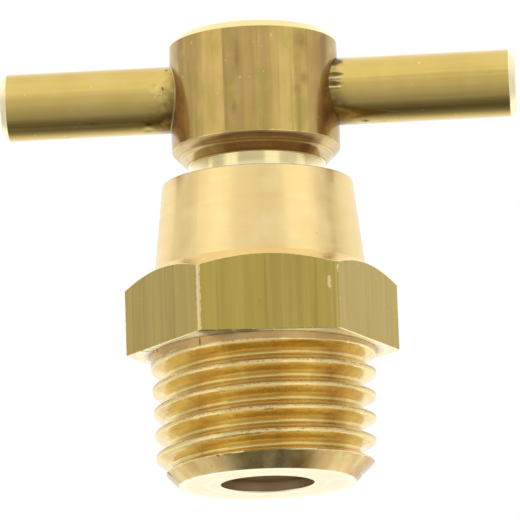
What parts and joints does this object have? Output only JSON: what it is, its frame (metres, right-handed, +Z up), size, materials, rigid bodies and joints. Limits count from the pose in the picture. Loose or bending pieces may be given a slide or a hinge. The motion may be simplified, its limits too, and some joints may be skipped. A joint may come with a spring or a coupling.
{
  "type": "drain cock",
  "caption": "Brass screw-down drain cock with a tapered pipe thread, hexagon, tapered body, cylindrical head and a crosswise tee bar that turns the spindle.",
  "frame": {"origin": "centre of the inlet end face, where the pipe thread ends", "axes": "+Z up along the spindle's axis, from the inlet to the head; two flats of the hexagon face +Y and -Y, and the tee bar lies near the X axis when the valve is shut"},
  "size_m": [0.0307, 0.014, 0.0269],
  "materials": {
    "turned_brass": "turned and drawn, bright",
    "head_brass": "turned, satin",
    "bar_brass": "drawn, bright",
    "jumper_brass": "turned, satin",
    "washer_rubber": "matt"
  },
  "bodies": {
    "body": {"body": "turned_brass"},
    "valve": {"jumper": "jumper_brass", "seat_washer": "washer_rubber"},
    "spindle": {"spindle": "head_brass", "tee_bar": "bar_brass"}
  },
  "joints": [
    {"name": "spindle_turn", "type": "hinge", "parent": "valve", "child": "spindle", "pos_m": [0, 0, 0.02], "axis": [0, 0, 1], "range_deg": [0, 720]},
    {"name": "valve_lift", "type": "slide", "parent": "body", "child": "valve", "axis": [0, 0, 1], "range_m": [0, 0.002]}
  ],
  "couplings": [
    {"joint": "valve_lift", "follows": "spindle_turn", "m_per_rad": 0.00015915}
  ]
}
